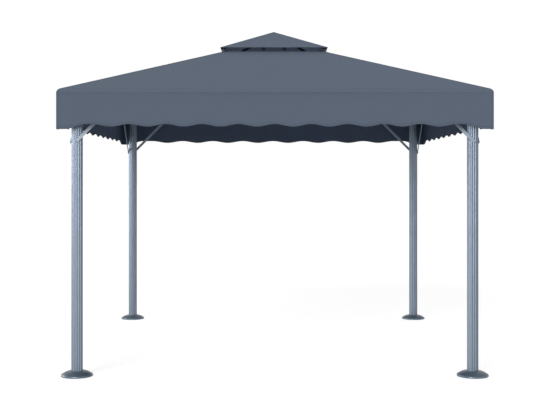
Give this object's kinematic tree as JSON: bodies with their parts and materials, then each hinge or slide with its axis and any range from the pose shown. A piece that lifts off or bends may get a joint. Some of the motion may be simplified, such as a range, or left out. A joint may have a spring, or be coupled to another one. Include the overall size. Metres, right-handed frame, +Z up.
{
  "type": "garden gazebo",
  "caption": "Square garden gazebo with reeded round metal posts on domed feet, corner braces, a scalloped fabric canopy and a vented upper roof tier",
  "frame": {"origin": "on the ground at the centre of the square between the posts", "axes": "+Z up, +Y from the front to the back, +X to the right of someone who looks at the front"},
  "size_m": [3, 3, 2.6055],
  "materials": {
    "cast_foot": "dark slate powder coat on a cast foot",
    "post_metal": "blue grey metallic powder coat on extruded aluminium",
    "bracket_metal": "dark slate powder coat on pressed steel",
    "frame_metal": "blue grey powder coat on steel tube",
    "canopy_fabric": "slate grey woven polyester with a coated back"
  },
  "bodies": {
    "root": {"foot_front_right": "cast_foot", "foot_back_right": "cast_foot", "foot_back_left": "cast_foot", "foot_front_left": "cast_foot", "post_front_right": "post_metal", "post_back_right": "post_metal", "post_back_left": "post_metal", "post_front_left": "post_metal", "corner_bracket_front_right": "bracket_metal", "corner_bracket_back_right": "bracket_metal", "corner_bracket_back_left": "bracket_metal", "corner_bracket_front_left": "bracket_metal", "peak_hub": "bracket_metal", "eave_beam_front": "frame_metal", "eave_beam_right": "frame_metal", "eave_beam_back": "frame_metal", "eave_beam_left": "frame_metal", "front_brace_right": "frame_metal", "front_brace_left": "frame_metal", "right_brace_back": "frame_metal", "right_brace_front": "frame_metal", "back_brace_left": "frame_metal", "back_brace_right": "frame_metal", "left_brace_front": "frame_metal", "left_brace_back": "frame_metal", "hip_rafter_front_right": "frame_metal", "hip_rafter_back_right": "frame_metal", "hip_rafter_back_left": "frame_metal", "hip_rafter_front_left": "frame_metal", "crown_ring": "frame_metal", "tier_rafter_front_right": "frame_metal", "tier_rafter_back_right": "frame_metal", "tier_rafter_back_left": "frame_metal", "tier_rafter_front_left": "frame_metal", "roof_panel_front": "canopy_fabric", "roof_panel_right": "canopy_fabric", "roof_panel_back": "canopy_fabric", "roof_panel_left": "canopy_fabric", "valance_front": "canopy_fabric", "valance_right": "canopy_fabric", "valance_back": "canopy_fabric", "valance_left": "canopy_fabric", "tier_panel_front": "canopy_fabric", "tier_panel_right": "canopy_fabric", "tier_panel_back": "canopy_fabric", "tier_panel_left": "canopy_fabric"}
  },
  "joints": []
}
